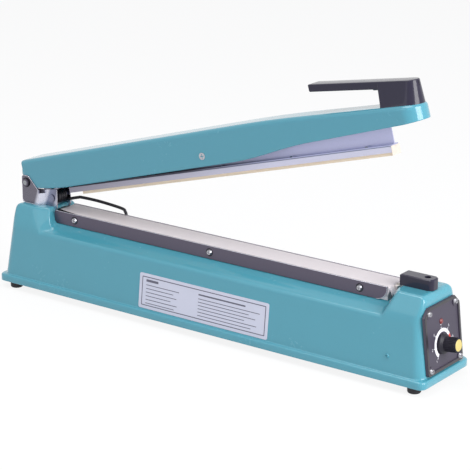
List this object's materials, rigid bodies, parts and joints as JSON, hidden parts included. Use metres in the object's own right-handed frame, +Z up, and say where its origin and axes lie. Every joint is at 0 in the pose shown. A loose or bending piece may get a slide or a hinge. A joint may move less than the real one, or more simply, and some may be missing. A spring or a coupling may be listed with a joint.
{
  "type": "hand impulse sealer",
  "caption": "Bench heat sealer for plastic film with a sprung lever arm, a floating pressure bar over a cloth-covered jaw, and a timer knob on the end.",
  "frame": {"origin": "on the bench plane, halfway between the left end of the base and the tip of the knob", "axes": "+X along the base from the hinge to the handle, +Y to the back, +Z up"},
  "size_m": [0.5642, 0.089, 0.2986],
  "materials": {
    "base_paint": "satin powder coat",
    "arm_paint": "satin powder coat",
    "plated_steel": "zinc plated",
    "feet_rubber": "moulded",
    "screw_steel": "bright plated",
    "bracket_steel": "plated sheet",
    "black_steel": "black oxide",
    "jaw_aluminium": "extruded",
    "insulation": "woven glass tape",
    "band_metal": "resistance alloy",
    "cloth": "coated glass cloth",
    "clamp_steel": "dull plated",
    "terminal_brass": "plain",
    "black_plastic": "fine texture",
    "inner_plastic": "moulded",
    "core_steel": "varnished laminations",
    "coil_winding": "taped copper winding",
    "board_green": "solder mask",
    "pot_metal": "plain",
    "lamp_red": "clear red lens",
    "bar_steel": "plated sheet",
    "rail_aluminium": "extruded",
    "silicone": "smooth silicone",
    "knob_plastic": "moulded",
    "cap_yellow": "moulded"
  },
  "bodies": {
    "base": {"base_housing": "base_paint", "bottom_plate": "plated_steel", "rubber_feet": "feet_rubber", "foot_screws": "screw_steel", "hinge_bracket": "bracket_steel", "bracket_screws": "screw_steel", "hinge_pin": "screw_steel", "spring_shaft": "screw_steel", "lift_spring": "black_steel", "jaw_bar": "jaw_aluminium", "jaw_screws": "screw_steel", "insulating_strip": "insulation", "heating_band": "band_metal", "slip_cloth": "cloth", "front_clamp_plate": "clamp_steel", "rear_clamp_plate": "clamp_steel", "clamp_screws": "screw_steel", "left_terminal": "terminal_brass", "right_terminal": "terminal_brass", "switch_block": "black_plastic", "microswitch": "inner_plastic", "transformer_core": "core_steel", "transformer_coil": "coil_winding", "transformer_screws": "screw_steel", "timer_board": "board_green", "board_parts": "inner_plastic", "board_posts": "terminal_brass", "timer_pot": "pot_metal", "pilot_lamp": "lamp_red", "end_panel": "black_plastic", "panel_screws": "screw_steel", "side_screws": "screw_steel", "cord_gland": "feet_rubber"},
    "arm": {"arm_channel": "arm_paint", "handle": "black_plastic", "handle_screws": "screw_steel", "striker": "screw_steel", "bar_hanger": "bracket_steel", "bar_pin": "screw_steel", "guide_screw": "screw_steel", "press_spring": "black_steel"},
    "pressure_bar": {"bar_web": "bar_steel", "bar_rail": "rail_aluminium", "bar_rivets": "screw_steel", "silicone_strip": "silicone", "rail_end_cap": "silicone"},
    "knob": {"timer_knob": "knob_plastic", "knob_cap": "cap_yellow"},
    "plunger": {"switch_plunger": "inner_plastic"}
  },
  "joints": [
    {"name": "arm_hinge", "type": "hinge", "parent": "base", "child": "arm", "pos_m": [-0.26015, 0, 0.1184], "axis": [0, 1, 0], "range_deg": [0, 17.65], "stiffness_Nm_per_rad": 6, "springref_deg": -40.11, "deforming": ["lift_spring"]},
    {"name": "bar_hinge", "type": "hinge", "parent": "arm", "child": "pressure_bar", "pos_m": [-0.19837, 0, 0.12796], "axis": [0, 1, 0], "range_deg": [-2.35, 0], "deforming": ["press_spring"]},
    {"name": "knob_turn", "type": "hinge", "parent": "base", "child": "knob", "pos_m": [0.26127, -0.002, 0.043], "axis": [0.994, 0, 0.1097], "range_deg": [-135, 135]},
    {"name": "plunger_travel", "type": "slide", "parent": "base", "child": "plunger", "axis": [0, 0, -1], "range_m": [0, 0.002], "stiffness_N_per_m": 300, "springref_m": -0.002}
  ],
  "couplings": [
    {"joint": "bar_hinge", "follows": "arm_hinge", "ratio": -0.13314}
  ]
}
